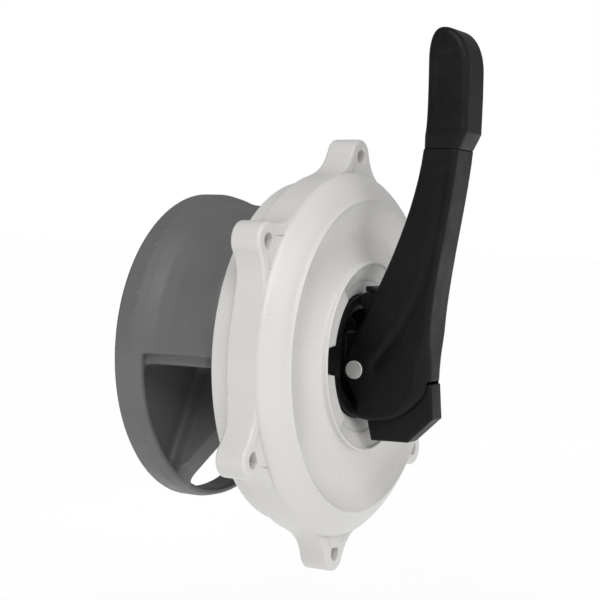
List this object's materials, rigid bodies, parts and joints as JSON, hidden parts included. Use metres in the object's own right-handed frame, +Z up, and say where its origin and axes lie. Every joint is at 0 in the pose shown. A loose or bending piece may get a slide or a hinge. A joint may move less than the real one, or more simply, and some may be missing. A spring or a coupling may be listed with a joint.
{
  "type": "rotary diverter valve head",
  "caption": "Lever-operated rotary valve head: round white cover with bolt lugs, a ported grey rotor on a sliding shaft behind it and a black lever in front.",
  "frame": {"origin": "centre of the cover's mounting face, on the shaft's axis", "axes": "+Y points back into the valve body along the shaft, +Z up along the lever, +X to the right seen from the lever side"},
  "size_m": [0.1738, 0.1329, 0.2364],
  "materials": {
    "white_cover": "glossy moulded white plastic",
    "rotor_grey": "satin mid-grey moulded plastic",
    "lever_black": "fine-grained black glass-filled plastic",
    "ring_black": "smooth black acetal",
    "bush_ivory": "natural acetal",
    "steel": "turned stainless steel",
    "seal_rubber": "black nitrile rubber"
  },
  "bodies": {
    "cover": {"cover": "white_cover", "wear_ring": "ring_black", "gland_bush": "bush_ivory", "bush_retainer": "steel", "outer_shaft_seal": "seal_rubber", "inner_shaft_seal": "seal_rubber", "wiper_ring": "seal_rubber"},
    "selector": {"spring_seat": "steel", "return_spring": "steel"},
    "rotor": {"shaft": "steel", "rotor": "rotor_grey", "rotor_seal": "seal_rubber", "rotor_pin": "steel", "rotor_washer": "steel", "rotor_nut": "steel", "yoke": "lever_black", "yoke_pin": "steel", "pivot_pin": "steel"},
    "lever": {"lever": "lever_black", "grip": "lever_black", "left_pin_bush": "ring_black", "right_pin_bush": "ring_black", "fulcrum_roller": "bush_ivory"}
  },
  "joints": [
    {"name": "selector_turn", "type": "hinge", "parent": "cover", "child": "selector", "pos_m": [0, 0, 0], "axis": [0, -1, 0], "continuous": true},
    {"name": "rotor_lift", "type": "slide", "parent": "selector", "child": "rotor", "axis": [0, -1, 0], "range_m": [0, 0.007], "stiffness_N_per_m": 8000, "springref_m": -0.012, "deforming": ["return_spring"]},
    {"name": "lever_press", "type": "hinge", "parent": "rotor", "child": "lever", "pos_m": [0, -0.0215, -0.0055], "axis": [-1, 0, 0], "range_deg": [0, 13.5]}
  ],
  "couplings": [
    {"joint": "lever_press", "follows": "rotor_lift", "rad_per_m": 33.3}
  ]
}
